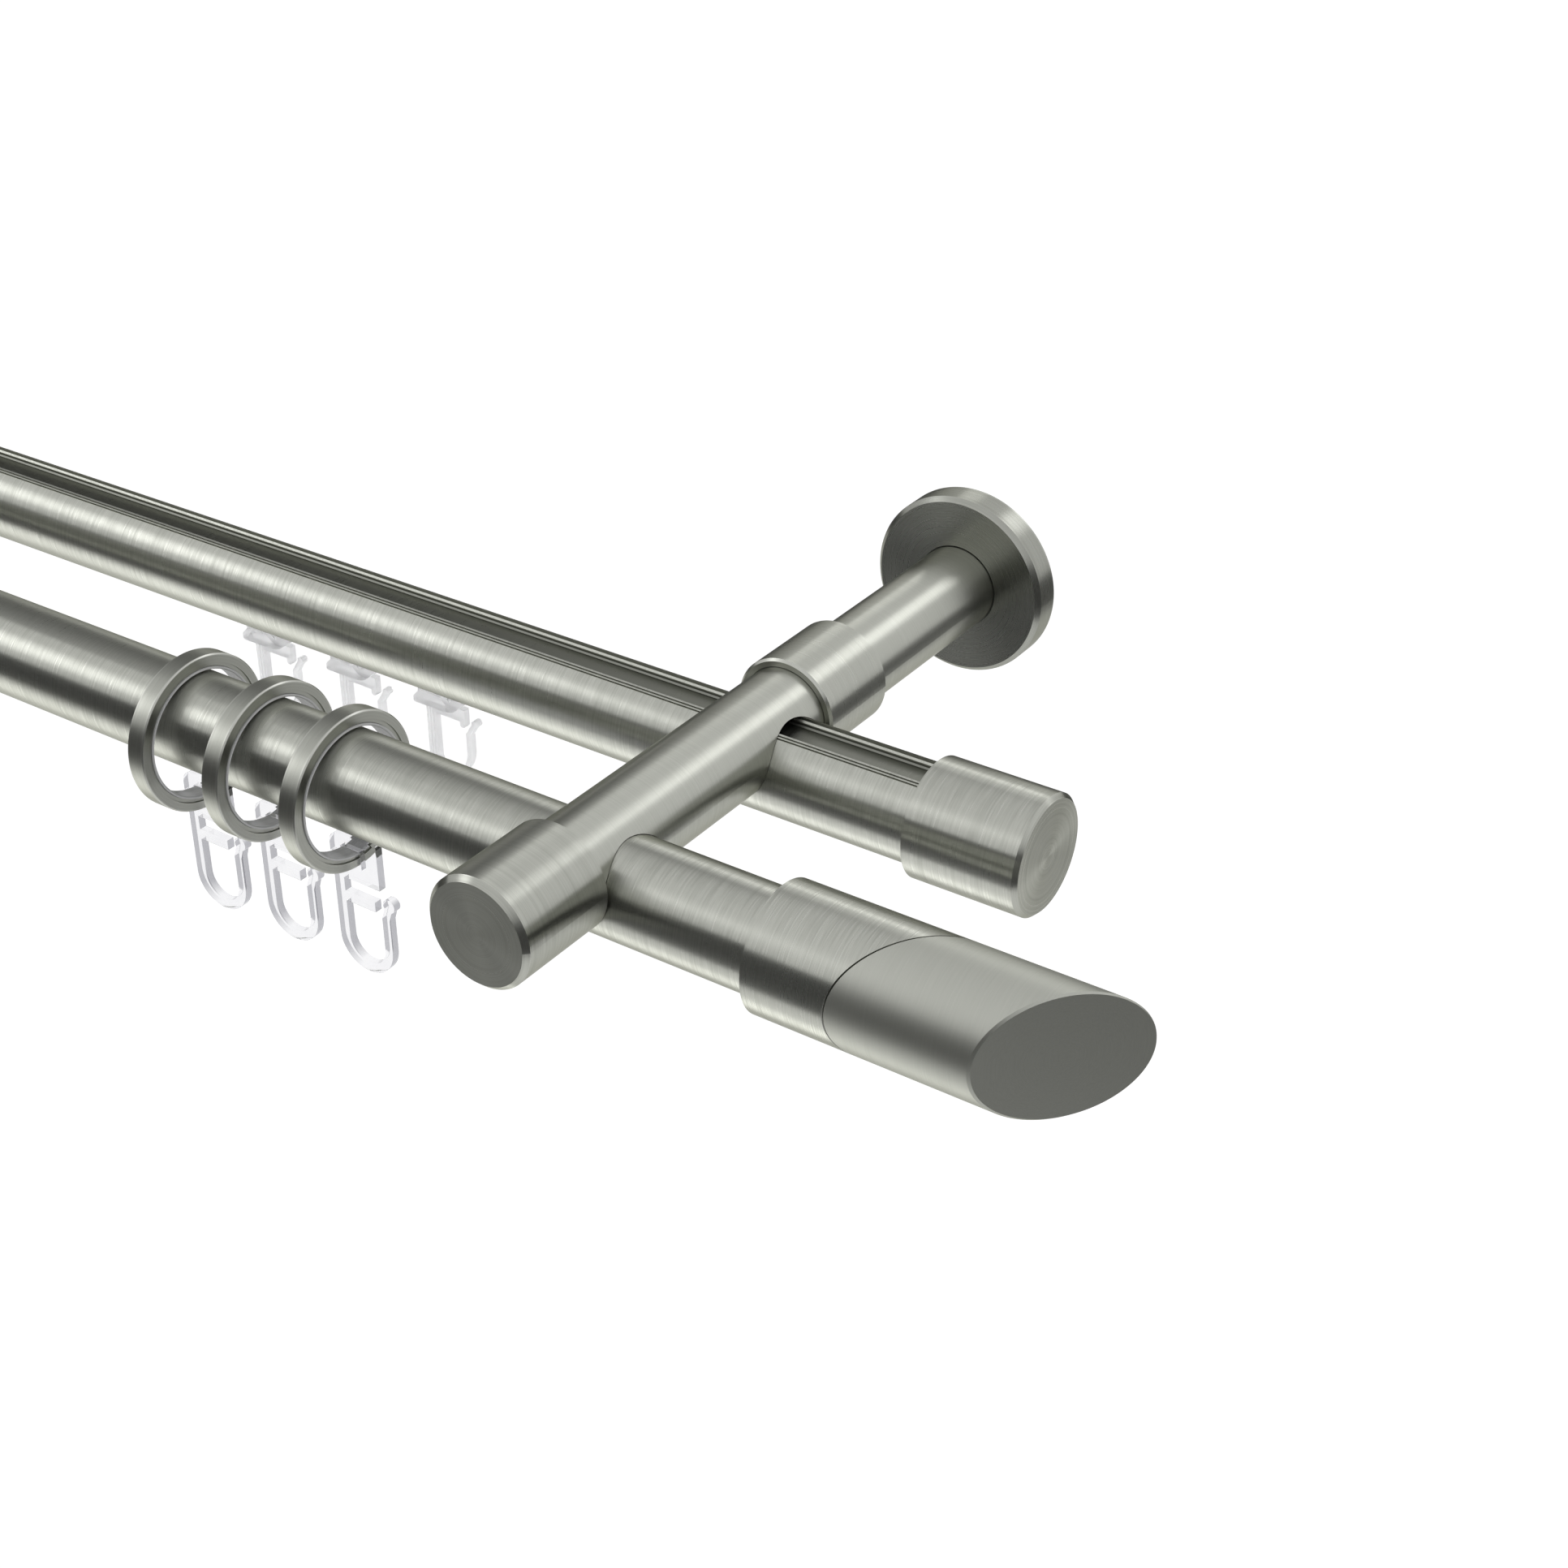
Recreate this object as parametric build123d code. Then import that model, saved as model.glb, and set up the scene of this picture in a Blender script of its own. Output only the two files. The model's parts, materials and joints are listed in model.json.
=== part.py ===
from build123d import *
import os
from math import cos, radians, sin, tan

os.makedirs("parts", exist_ok=True)

# Double curtain rod, in millimetres.
# X runs along the rods towards the right-hand finial, Y points at the wall and Z is up.
# The origin is on the wall, at the middle of the right-hand bracket's mounting plate.

# Rods and how they stand off the wall
rod_d = 20.0
front_rod_wall = 1.2
rear_reach = 82.0
front_reach = 132.5
rod_drop = 5.0
bracket_span = 400.0

# Wall end of a bracket
rosette_d = 40.0
rosette_depth = 6.5
rosette_wall = 1.3
rosette_edge = 1.0
rosette_gap = 0.2
plate_t = 3.0
plate_gap = 0.3
wall_screw_spacing = 27.0
wall_screw_hole_d = 4.5
wall_screw_head_d = 8.4
post_d = 18.0
post_wall = 1.6
post_root = 12.0
post_screw_d = 6.0
post_screw_head_d = 11.4
post_screw_head_t = 2.8
post_screw_l = 13.0

# Telescoping joint under the collar
collar_d = 22.0
collar_l = 20.0
collar_edge = 0.5
post_insert = 10.0
adjust_gap = 1.0
spigot_clear = 8.0
slide_gap = 0.1

# Arm and its front end cap
arm_d = 18.6
end_cap_d = 22.2
end_cap_l = 22.0
end_cap_floor = 1.6
end_cap_edge = 1.0
clamp_lean = 45.0
clamp_bite = 1.4
clamp_sink = 0.5

# Ends of the rods
finial_d = 25.0
finial_start = 40.5
finial_seam = 67.5
finial_end = 95.5
finial_cut = 50.0
finial_rim = 0.35
seam_groove = 0.35
spigot_d = 12.0
sleeve_floor = 1.0
rear_cap_d = 24.0
rear_cap_l = 24.0
rear_cap_floor = 3.0
rear_cap_edge = 0.85

# Small grub screws
grub_d = 4.0
rosette_grub_d = 2.5
socket_share = 0.5
thread_gap = 0.05

# Rear rod's section: a groove along its top and the gliders' channel inside
track_wall = 1.2
groove_mouth = 7.7
groove_ledge_drop = 1.4
groove_ledge_w = 0.35
groove_floor_drop = 2.65
groove_corner = 0.3
lip_line_offsets = (0.5, 1.05)
lip_line_w = 0.3
lip_line_depth = 0.25
track_slot = 5.4
track_ledge_t = 2.1

# Rings on the front rod
ring_count = 3
ring_pitch = 20.0
ring_first = -60.0
ring_d = 32.9
ring_bore = 26.4
ring_width = 4.2
ring_edge = 0.25
ring_step_d = 29.2
ring_step = 0.3
liner_t = 0.55
liner_gap = 0.05
liner_edge = 0.2
hang_gap = 0.3

# Clear hook clipped on each ring, measured from the ring's middle plane
hook_t = 1.8
hook_left = -5.0
hook_w = 13.8
hook_leg_w = 2.6
hook_tip_w = 2.0
hook_drop = 24.9
hook_side_gap = 0.4
hook_under_gap = 1.0
hook_rest_gap = 0.05
hook_roof_t = 2.7
hook_lip_w = 2.9
hook_lip_reach = 2.1
hook_cheek_w = 4.4
hook_bar_t = 3.1
hook_window = 3.2
hook_tongue_t = 2.3
hook_tongue_end = 5.3
hook_knob_d = 3.0
hook_knob_lean = 1.1
hook_knob_rise = 0.4
hook_neck_l = 3.5

# Gliders hanging in the rear rod's channel
glider_count = 3
glider_pitch = 25.0
glider_first = -80.0
glider_l = 11.6
glider_middle = -1.0
glider_w = 7.0
glider_slab_t = 3.3
glider_slab_gap = 0.3
glider_slab_slope = 3.0
glider_round = 2.0
glider_neck_l = 8.6
glider_neck_gap = 0.3
glider_head_w = 8.6
glider_head_t = 1.5
glider_run_gap = 0.08
glider_hook_t = 1.6
glider_leg_offset = -4.8
glider_leg_w = 2.5
glider_tip_w = 1.25
glider_hook_w = 12.0
glider_hook_drop = 18.0
glider_tip_bend = 8.5
glider_block_t = 3.0
glider_block_end = 5.9
glider_nib_w = 1.4
glider_nib_t = 1.3
glider_knob_d = 1.6
glider_knob_lean = 2.0
glider_knob_drop = 2.5
glider_neck_drop = 5.6
glider_line_w = 0.45
glider_line_depth = 0.3

# Values worked out from the driving dimensions
rod_r = rod_d / 2
saddle_r = rod_r + slide_gap
rod_z = -rod_drop
front_y = -front_reach
rear_y = -rear_reach
arm_r = arm_d / 2
post_r = post_d / 2
collar_r = collar_d / 2
spigot_r = post_r - post_wall - slide_gap
collar_front = rear_reach - rod_r - slide_gap
collar_back = collar_front - collar_l
post_front = collar_back + post_insert
arm_back = post_front + adjust_gap
post_bore_back = plate_t + post_root
end_cap_back = front_reach + rod_r + slide_gap
end_cap_front = end_cap_back + end_cap_l
arm_front = end_cap_front - end_cap_floor - slide_gap
plate_r = rosette_d / 2 - rosette_wall - plate_gap
rear_cap_end = finial_start + rear_cap_l
seam_short = finial_seam - finial_d / 2 / tan(radians(finial_cut))
rod_seat = seam_short - sleeve_floor - slide_gap - finial_start
ring_z = rod_z + rod_r + hang_gap - ring_bore / 2
mirror_plane = Plane.YZ.offset(-bracket_span / 2)


def along_y(radius, start, end, x=0.0, z=0.0):
    """Round bar along Y between two distances from the wall."""
    bar = Cylinder(radius, end - start, align=(Align.CENTER, Align.CENTER, Align.MIN))
    return Pos(x, -start, z) * Rot(90, 0, 0) * bar


def along_x(radius, start, end, y, z):
    """Round bar along X between two places."""
    bar = Cylinder(radius, end - start, align=(Align.CENTER, Align.CENTER, Align.MIN))
    return Pos(start, y, z) * Rot(0, 90, 0) * bar


def turned_y(points):
    """Solid turned about the bracket's axis, from (distance from the wall, radius) pairs."""
    outline = make_face(Polyline([(radius, -reach) for reach, radius in points], close=True))
    return revolve(outline, axis=Axis.Y)


def turned_x(points, y, z):
    """Solid turned about a line along X, from (place along X, radius) pairs."""
    outline = make_face(Polyline([(x, radius) for x, radius in points], close=True))
    return Pos(0, y, z) * revolve(outline, axis=Axis.X)


def grub_screw(diameter, length, point=0.0):
    """Headless screw along +Z: its point at the origin, its hexagon socket at the far end."""
    radius = diameter / 2
    body = Pos(0, 0, point) * Cylinder(radius, length - point, align=(Align.CENTER, Align.CENTER, Align.MIN))
    if point > 0:
        body += Cone(0, radius, point, align=(Align.CENTER, Align.CENTER, Align.MIN))
    socket_depth = socket_share * (length - point)
    socket = extrude(RegularPolygon(socket_share * radius, 6), amount=socket_depth)
    return body - Pos(0, 0, length - socket_depth) * socket


def save(shape, name):
    """Write one sub-part to its own file."""
    export_step(shape, f"parts/{name}.step")


# Brackets: every piece of one bracket is made about the origin's YZ plane


def mount_plate():
    """Round steel plate that is screwed to the wall, with the post's screw in its middle."""
    plate = along_y(plate_r, 0, plate_t)
    for z in (-wall_screw_spacing / 2, wall_screw_spacing / 2):
        plate -= along_y(wall_screw_hole_d / 2, 0, plate_t, z=z)
        sink_t = (wall_screw_head_d - wall_screw_hole_d) / 2
        sink = Cone(wall_screw_head_d / 2, wall_screw_hole_d / 2, sink_t)
        plate -= Pos(0, -plate_t + sink_t / 2, z) * Rot(-90, 0, 0) * sink
    plate -= along_y(post_screw_d / 2 + thread_gap, 0, plate_t)
    head_r = post_screw_head_d / 2 + thread_gap
    head = Cone(head_r, post_screw_d / 2 + thread_gap, post_screw_head_t)
    plate -= Pos(0, -post_screw_head_t / 2, 0) * Rot(90, 0, 0) * head
    return plate


def post_screw():
    """Countersunk screw from behind the plate into the post."""
    shank = along_y(post_screw_d / 2, post_screw_head_t / 2, post_screw_l)
    head = Cone(post_screw_head_d / 2, post_screw_d / 2, post_screw_head_t)
    screw = shank + Pos(0, -post_screw_head_t / 2, 0) * Rot(90, 0, 0) * head
    socket = extrude(RegularPolygon(post_screw_d * socket_share / 2, 6), amount=post_screw_head_t)
    return screw - Rot(90, 0, 0) * socket


def rosette():
    """Cover that hides the plate, with a bevelled front edge and a hole for the post."""
    outer = rosette_d / 2
    hole = post_r + rosette_gap
    cover = turned_y([
        (0, outer), (rosette_depth - rosette_edge, outer), (rosette_depth, outer - rosette_edge),
        (rosette_depth, hole), (rosette_depth - rosette_wall, hole),
        (rosette_depth - rosette_wall, outer - rosette_wall), (0, outer - rosette_wall),
    ])
    grub_hole = Cylinder(rosette_grub_d / 2 + thread_gap, rosette_d)
    return cover - Pos(0, -plate_t / 2, -outer) * grub_hole


def rosette_screw():
    """Grub screw under the cover, which holds it on the plate."""
    screw = grub_screw(rosette_grub_d, rosette_d / 2 - plate_r)
    return Pos(0, -plate_t / 2, -plate_r) * Rot(180, 0, 0) * screw


def post():
    """Tube that stands on the plate: solid at its root, bored for the arm's spigot."""
    tube = along_y(post_r, plate_t, post_front)
    tube -= along_y(post_r - post_wall, post_bore_back, post_front)
    tube -= along_y(post_screw_d / 2 + thread_gap, plate_t, post_screw_l + adjust_gap)
    access = Cylinder(grub_d / 2 + thread_gap, post_d)
    return tube - Pos(0, -(collar_back + post_insert / 2), -post_r) * access


def collar():
    """Sleeve over the telescoping joint, bored for the post behind and for the arm in front."""
    back_bore = post_r + slide_gap
    front_bore = arm_r + slide_gap
    sleeve = turned_y([
        (collar_back, back_bore), (collar_back, collar_r - collar_edge),
        (collar_back + collar_edge, collar_r), (collar_front - collar_edge, collar_r),
        (collar_front, collar_r - collar_edge), (collar_front, front_bore),
        (post_front, front_bore), (post_front, back_bore),
    ])
    access = Cylinder(grub_d / 2 + thread_gap, collar_d)
    return sleeve - Pos(0, -(collar_back + post_insert / 2), -collar_r) * access


def collar_screw():
    """Grub screw under the collar, which clamps the arm's spigot through the post."""
    screw = grub_screw(grub_d, collar_r - spigot_r - thread_gap)
    return Pos(0, -(collar_back + post_insert / 2), -spigot_r) * Rot(180, 0, 0) * screw


def clamp_place(rod_y, side):
    """Place of a rod clamp screw's point: beside the rod, leaning in from under the arm."""
    point = Pos(0, rod_y + side * (rod_r + thread_gap), rod_z + clamp_bite)
    return point * Rot(-side * (90 + clamp_lean), 0, 0)


def arm():
    """Round bar with two saddles that hook over the rods, and a spigot that slides in the post."""
    bar = along_y(arm_r, arm_back, arm_front)
    bar += along_y(spigot_r, post_bore_back + spigot_clear, arm_back)
    for rod_y in (front_y, rear_y):
        bar -= along_x(saddle_r, -arm_d, arm_d, rod_y, rod_z)
    for rod_y, side in ((front_y, 1), (rear_y, -1)):
        hole = Cylinder(grub_d / 2 + thread_gap, arm_d, align=(Align.CENTER, Align.CENTER, Align.MIN))
        bar -= clamp_place(rod_y, side) * hole
    dimple = Cylinder(grub_d / 2 + thread_gap, grub_d / 2)
    return bar - Pos(0, -(end_cap_back + end_cap_l / 2), -arm_r) * dimple


def rod_clamp_screws():
    """Two cone-point grub screws, hidden under the arm between the rods."""
    lean = radians(clamp_lean)
    reach = (arm_r - rod_drop + clamp_bite) / sin(lean) - grub_d / 2 / tan(lean) - clamp_sink
    screws = []
    for rod_y, side in ((front_y, 1), (rear_y, -1)):
        screws.append(clamp_place(rod_y, side) * grub_screw(grub_d, reach, point=grub_d / 2 * tan(lean)))
    return Compound(children=screws)


def end_cap():
    """Closed cap on the arm's front end: it shuts the front saddle against the rod."""
    outer = end_cap_d / 2
    bore = arm_r + slide_gap
    cap = turned_y([
        (end_cap_back, bore), (end_cap_back, outer), (end_cap_front - end_cap_edge, outer),
        (end_cap_front, outer - end_cap_edge), (end_cap_front, 0),
        (end_cap_front - end_cap_floor, 0), (end_cap_front - end_cap_floor, bore),
    ])
    access = Cylinder(grub_d / 2 + thread_gap, end_cap_d)
    return cap - Pos(0, -(end_cap_back + end_cap_l / 2), -outer) * access


def end_cap_screw():
    """Grub screw under the end cap: its tip sits in the arm's dimple."""
    tip = arm_r - grub_d / 4 + thread_gap
    screw = grub_screw(grub_d, end_cap_d / 2 - tip - thread_gap)
    return Pos(0, -(end_cap_back + end_cap_l / 2), -tip) * Rot(180, 0, 0) * screw


# Rods and their ends


def cut_plane(x):
    """Upright plane that crosses the front rod's axis at x, leaning as the finial's cut does."""
    lean = (sin(radians(finial_cut)), -cos(radians(finial_cut)), 0)
    return Plane(origin=(x, front_y, rod_z), z_dir=lean)


def front_rod():
    """Round tube between the two finials."""
    end = finial_start + rod_seat
    tube = along_x(rod_r, -bracket_span - end, end, front_y, rod_z)
    return tube - along_x(rod_r - front_rod_wall, -bracket_span - end, end, front_y, rod_z)


def finial_sleeve():
    """Brushed sleeve on the rod's end, cut off at a slant where the tip begins."""
    sleeve = along_x(finial_d / 2, finial_start, finial_end, front_y, rod_z)
    sleeve = split(sleeve, bisect_by=cut_plane(finial_seam), keep=Keep.BOTTOM)
    sleeve -= along_x(rod_r + slide_gap, finial_start, finial_start + rod_seat + slide_gap, front_y, rod_z)
    sleeve -= along_x(spigot_d / 2 + thread_gap, finial_start, finial_end, front_y, rod_z)
    access = Cylinder(grub_d / 2 + thread_gap, finial_d)
    return sleeve - Pos(finial_start + rod_seat / 2, front_y, rod_z - finial_d / 2) * access


def finial_tip():
    """Smooth tip with a slanted flat end, parallel to its seam, and a spigot in the sleeve."""
    lean = cut_plane(0).z_dir
    stock = along_x(finial_d / 2, finial_start, finial_end + finial_d, front_y, rod_z)
    tip = split(stock, bisect_by=cut_plane(finial_end), keep=Keep.BOTTOM)
    end_edges = tip.faces().filter_by(lambda face: face.normal_at().dot(lean) > 0.99).edges()
    tip = chamfer(end_edges, finial_rim)
    tip = split(tip, bisect_by=cut_plane(finial_seam + seam_groove), keep=Keep.TOP)
    neck = along_x(finial_d / 2 - seam_groove, finial_start, finial_end, front_y, rod_z)
    neck = split(neck, bisect_by=cut_plane(finial_seam + 2 * seam_groove), keep=Keep.BOTTOM)
    neck = split(neck, bisect_by=cut_plane(finial_seam), keep=Keep.TOP)
    spigot_start = finial_start + rod_seat + 2 * slide_gap
    spigot = along_x(spigot_d / 2, spigot_start, finial_end - finial_d / 2, front_y, rod_z)
    spigot = split(spigot, bisect_by=cut_plane(finial_seam + seam_groove), keep=Keep.BOTTOM)
    return tip + neck + spigot


def finial_screw():
    """Grub screw under the sleeve, which grips the front rod."""
    screw = grub_screw(grub_d, finial_d / 2 - rod_r - thread_gap)
    return Pos(finial_start + rod_seat / 2, front_y, rod_z - rod_r) * Rot(180, 0, 0) * screw


def track_section():
    """Section of the rear rod, about its own axis: X is towards the wall and Y is up."""
    inner = rod_r - track_wall
    floor_y = rod_r - groove_floor_drop
    roof_y = floor_y - track_wall
    ledge_y = track_ledge_t + sagitta(track_slot) - rod_r
    channel = Circle(inner) & Pos(0, (roof_y + ledge_y) / 2) * Rectangle(rod_d, roof_y - ledge_y)
    section = Circle(rod_r) - channel - Pos(0, -rod_r) * Rectangle(track_slot, rod_d - track_wall)
    half = groove_mouth / 2
    step = half - groove_ledge_w
    ledge_top = rod_r - groove_ledge_drop
    groove = Polyline([
        (-half, rod_r), (-half, ledge_top), (-step, ledge_top - groove_ledge_w),
        (-step, floor_y + groove_corner), (groove_corner - step, floor_y),
        (step - groove_corner, floor_y), (step, floor_y + groove_corner),
        (step, ledge_top - groove_ledge_w), (half, ledge_top), (half, rod_r),
    ], close=True)
    section -= make_face(groove)
    for offset in lip_line_offsets:
        line_x = half + offset
        line = Rectangle(lip_line_w, 2 * (sagitta(2 * line_x) + lip_line_depth))
        section -= Pos(line_x, rod_r) * line
        section -= Pos(-line_x, rod_r) * line
    return section


def sagitta(width):
    """How far a chord of that width lies below the top of the rod."""
    return rod_r - (rod_r ** 2 - (width / 2) ** 2) ** 0.5


def rear_track():
    """Rear rod: a round rail with a channel for the gliders and a groove along its top."""
    end = rear_cap_end - rear_cap_floor - slide_gap
    start = -bracket_span - end
    rail = extrude(Plane.YZ * track_section(), amount=end - start)
    return Pos(start, rear_y, rod_z) * rail


def rear_cap():
    """Plain turned cap on the rear rod's end."""
    outer = rear_cap_d / 2
    bore = rod_r + slide_gap
    bore_end = rear_cap_end - rear_cap_floor
    cap = turned_x([
        (finial_start, bore), (finial_start, outer), (rear_cap_end - rear_cap_edge, outer),
        (rear_cap_end, outer - rear_cap_edge), (rear_cap_end, 0), (bore_end, 0), (bore_end, bore),
    ], rear_y, rod_z)
    access = Rot(90, 0, 0) * Cylinder(grub_d / 2 + thread_gap, rear_cap_d)
    return cap - Pos(finial_start + rear_cap_l / 2, rear_y + outer, rod_z) * access


def rear_cap_screw():
    """Grub screw on the wall side of the rear cap, which grips the rear rod."""
    screw = grub_screw(grub_d, rear_cap_d / 2 - rod_r - thread_gap)
    return Pos(finial_start + rear_cap_l / 2, rear_y + rod_r, rod_z) * Rot(-90, 0, 0) * screw


# Rings with their clear hooks, and gliders


def ring(x):
    """Metal ring with a shallow step round its bore on both faces."""
    outer = ring_d / 2
    inner = ring_bore / 2 + liner_t + liner_gap
    step_r = ring_step_d / 2
    half = ring_width / 2
    shoulder = half - ring_step
    return turned_x([
        (x - shoulder, inner), (x - shoulder, step_r), (x - half, step_r), (x - half, outer - ring_edge),
        (x - half + ring_edge, outer), (x + half - ring_edge, outer), (x + half, outer - ring_edge),
        (x + half, step_r), (x + shoulder, step_r), (x + shoulder, inner),
    ], front_y, ring_z)


def ring_liner(x):
    """Plastic lining pressed into the ring's bore, with softened inner edges."""
    inner = ring_bore / 2
    outer = inner + liner_t
    half = ring_width / 2
    return turned_x([
        (x - half, outer), (x - half, inner + liner_edge), (x - half + liner_edge, inner),
        (x + half - liner_edge, inner), (x + half, inner + liner_edge), (x + half, outer),
    ], front_y, ring_z)


def cup(left, right, bottom, tip_bend, top):
    """Area with a round bottom: one radius at its right, and what is left of the width at its left."""
    leg_bend = right - left - tip_bend
    low_x = left + leg_bend
    leg_round = CenterArc((low_x, bottom + leg_bend), leg_bend, 180, 90)
    tip_round = CenterArc((low_x, bottom + tip_bend), tip_bend, 270, 90)
    sides = Polyline((right, bottom + tip_bend), (right, top), (left, top), (left, bottom + leg_bend))
    return make_face([leg_round, tip_round, *sides.edges()])


def hook_body(left, width, leg_w, tip_w, top, bottom, tip_bend):
    """Long leg and bend of a hook, thinner towards its tip: X along the rod, Y up."""
    right = left + width
    inner_share = (width - leg_w - tip_w) / width
    bend_t = (leg_w + tip_w) / 2
    body = cup(left, right, bottom, tip_bend, top)
    body -= cup(left + leg_w, right - tip_w, bottom + bend_t, inner_share * tip_bend, top)
    return body - Pos(left + leg_w, bottom + tip_bend) * Rectangle(
        width, top - bottom, align=(Align.MIN, Align.MIN))


def hook_tip(right, bottom, tip_w, neck_y, knob_x, knob_y, knob_d):
    """Short leg of a hook: straight up from the bend, then leaning out to a round knob."""
    stem = Pos(right, bottom) * Rectangle(tip_w, neck_y - bottom, align=(Align.MAX, Align.MIN))
    neck = make_face(Polyline([
        (right - tip_w, neck_y), (right, neck_y), (knob_x + tip_w / 2, knob_y), (knob_x - tip_w / 2, knob_y),
    ], close=True))
    return stem + neck + Pos(knob_x, knob_y) * Circle(knob_d / 2)


def ring_hook_outline():
    """Outline of a ring's hook: X along the rod from the ring's middle, Y up from the ring's axis."""
    clip = ring_width / 2 + hook_side_gap
    roof = hook_rest_gap - ring_bore / 2
    sill = -ring_d / 2 - hook_under_gap
    bar_bottom = sill - hook_bar_t
    bottom = -ring_d / 2 - hook_drop
    left = -clip - hook_lip_w
    head = Pos(left, bar_bottom) * Rectangle(
        2 * clip + hook_lip_w + hook_cheek_w, roof + hook_roof_t - bar_bottom, align=(Align.MIN, Align.MIN))
    head = fillet(head.vertices().sort_by(lambda corner: corner.X - corner.Y)[0], hook_roof_t)
    head -= Pos(-clip, sill) * Rectangle(2 * clip, roof - sill, align=(Align.MIN, Align.MIN))
    mouth_h = roof - hook_lip_reach - sill
    head -= Pos(left, sill) * Rectangle(hook_lip_w, mouth_h, align=(Align.MIN, Align.MIN))
    head -= Pos(left, sill) * Rectangle(hook_left - left, hook_bar_t, align=(Align.MIN, Align.MAX))
    tongue_top = bar_bottom - hook_window
    tongue = Pos(hook_left + hook_leg_w / 2, tongue_top) * Rectangle(
        hook_tongue_end - hook_left - hook_leg_w / 2, hook_tongue_t, align=(Align.MIN, Align.MAX))
    knob_y = tongue_top + hook_knob_rise
    right = hook_left + hook_w
    tip = hook_tip(right, bottom + hook_w / 2, hook_tip_w, knob_y - hook_neck_l,
                   right - hook_tip_w / 2 + hook_knob_lean, knob_y, hook_knob_d)
    body = hook_body(hook_left, hook_w, hook_leg_w, hook_tip_w, sill, bottom, hook_w / 2)
    return head + tongue + body + tip


def ring_hook(x):
    """Clear hook that clips round the ring: a gap in its left side lets the ring in."""
    return Pos(x, front_y, ring_z) * extrude(Plane.XZ * ring_hook_outline(), amount=hook_t / 2, both=True)


def glider_hook_outline():
    """Outline of a glider's hook below its slab: X along the rod, Y up from the slab's underside."""
    right = glider_leg_offset + glider_hook_w
    tip = hook_tip(right, glider_tip_bend - glider_hook_drop, glider_tip_w, -glider_neck_drop,
                   right - glider_tip_w / 2 + glider_knob_lean, -glider_knob_drop, glider_knob_d)
    start = glider_leg_offset + glider_leg_w / 2
    block = Pos(start, 0) * Rectangle(glider_block_end - start, glider_block_t, align=(Align.MIN, Align.MAX))
    nib = Pos(glider_block_end, 0) * Rectangle(
        glider_nib_w, glider_block_t + glider_nib_t, align=(Align.MAX, Align.MAX))
    nib = chamfer(nib.vertices().group_by(Axis.Y)[0], glider_nib_w / 4)
    body = hook_body(glider_leg_offset, glider_hook_w, glider_leg_w, glider_tip_w, 0,
                     -glider_hook_drop, glider_tip_bend)
    return body + tip + block + nib


def glider(x):
    """Glider: a head that runs in the channel, a neck in the slot and a hook below."""
    slab_top = rod_z - rod_r - glider_slab_gap
    slab_bottom = slab_top - glider_slab_t
    head_bottom = rod_z - rod_r + track_ledge_t + sagitta(track_slot) + glider_run_gap
    half = glider_l / 2
    edge = glider_slab_slope / 8
    side = make_face(Polyline([
        (edge - half, 0), (half - edge, 0), (half, edge), (half - glider_slab_slope, glider_slab_t),
        (glider_slab_slope - half, glider_slab_t), (-half, edge),
    ], close=True))
    slab = extrude(Plane.XZ * side, amount=glider_w / 2, both=True)
    slab &= extrude(RectangleRounded(glider_l, glider_w, glider_round), amount=glider_slab_t)
    neck = Box(glider_neck_l, track_slot - 2 * glider_neck_gap, head_bottom - slab_bottom,
               align=(Align.CENTER, Align.CENTER, Align.MIN))
    head = Pos(0, 0, head_bottom - slab_bottom) * extrude(
        RectangleRounded(glider_l, glider_head_w, glider_round), amount=glider_head_t)
    hook = extrude(Plane.XZ * glider_hook_outline(), amount=glider_hook_t / 2, both=True)
    leg_l = glider_hook_drop - glider_hook_w + glider_tip_bend
    for face_y in (-glider_hook_t / 2, glider_hook_t / 2):
        for offset in (-glider_line_w, glider_line_w):
            line = Box(glider_line_w, 2 * glider_line_depth, leg_l,
                       align=(Align.CENTER, Align.CENTER, Align.MAX))
            hook -= Pos(glider_leg_offset + glider_leg_w / 2 + offset, face_y, 0) * line
    return Pos(x, rear_y, slab_bottom) * (Pos(glider_middle, 0, 0) * (slab + neck + head) + hook)


bracket_pieces = {
    "mount_plate": mount_plate(), "post_screw": post_screw(), "rosette": rosette(),
    "rosette_screw": rosette_screw(), "post": post(), "collar": collar(), "collar_screw": collar_screw(),
    "arm": arm(), "rod_clamp_screws": rod_clamp_screws(), "end_cap": end_cap(),
    "end_cap_screw": end_cap_screw(),
}
for name, piece in bracket_pieces.items():
    save(piece, "right_" + name)
    save(Pos(-bracket_span, 0, 0) * piece, "left_" + name)

end_pieces = {
    "finial_sleeve": finial_sleeve(), "finial_tip": finial_tip(), "finial_screw": finial_screw(),
    "rear_cap": rear_cap(), "rear_cap_screw": rear_cap_screw(),
}
for name, piece in end_pieces.items():
    save(piece, "right_" + name)
    save(mirror(piece, about=mirror_plane), "left_" + name)

save(front_rod(), "front_rod")
save(rear_track(), "rear_track")

for number in range(ring_count):
    place = ring_first - number * ring_pitch
    save(ring(place), f"ring_{number + 1}")
    save(ring_liner(place), f"ring_liner_{number + 1}")
    save(ring_hook(place), f"ring_hook_{number + 1}")

for number in range(glider_count):
    save(glider(glider_first - number * glider_pitch), f"glider_{number + 1}")
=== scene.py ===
import json
from math import cos, pi, radians, sin, sqrt

import bmesh
import bpy
from bpy.props import FloatProperty, FloatVectorProperty, PointerProperty
from bpy.types import Operator, Panel, PropertyGroup
from mathutils import Euler, Matrix, Vector

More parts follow.
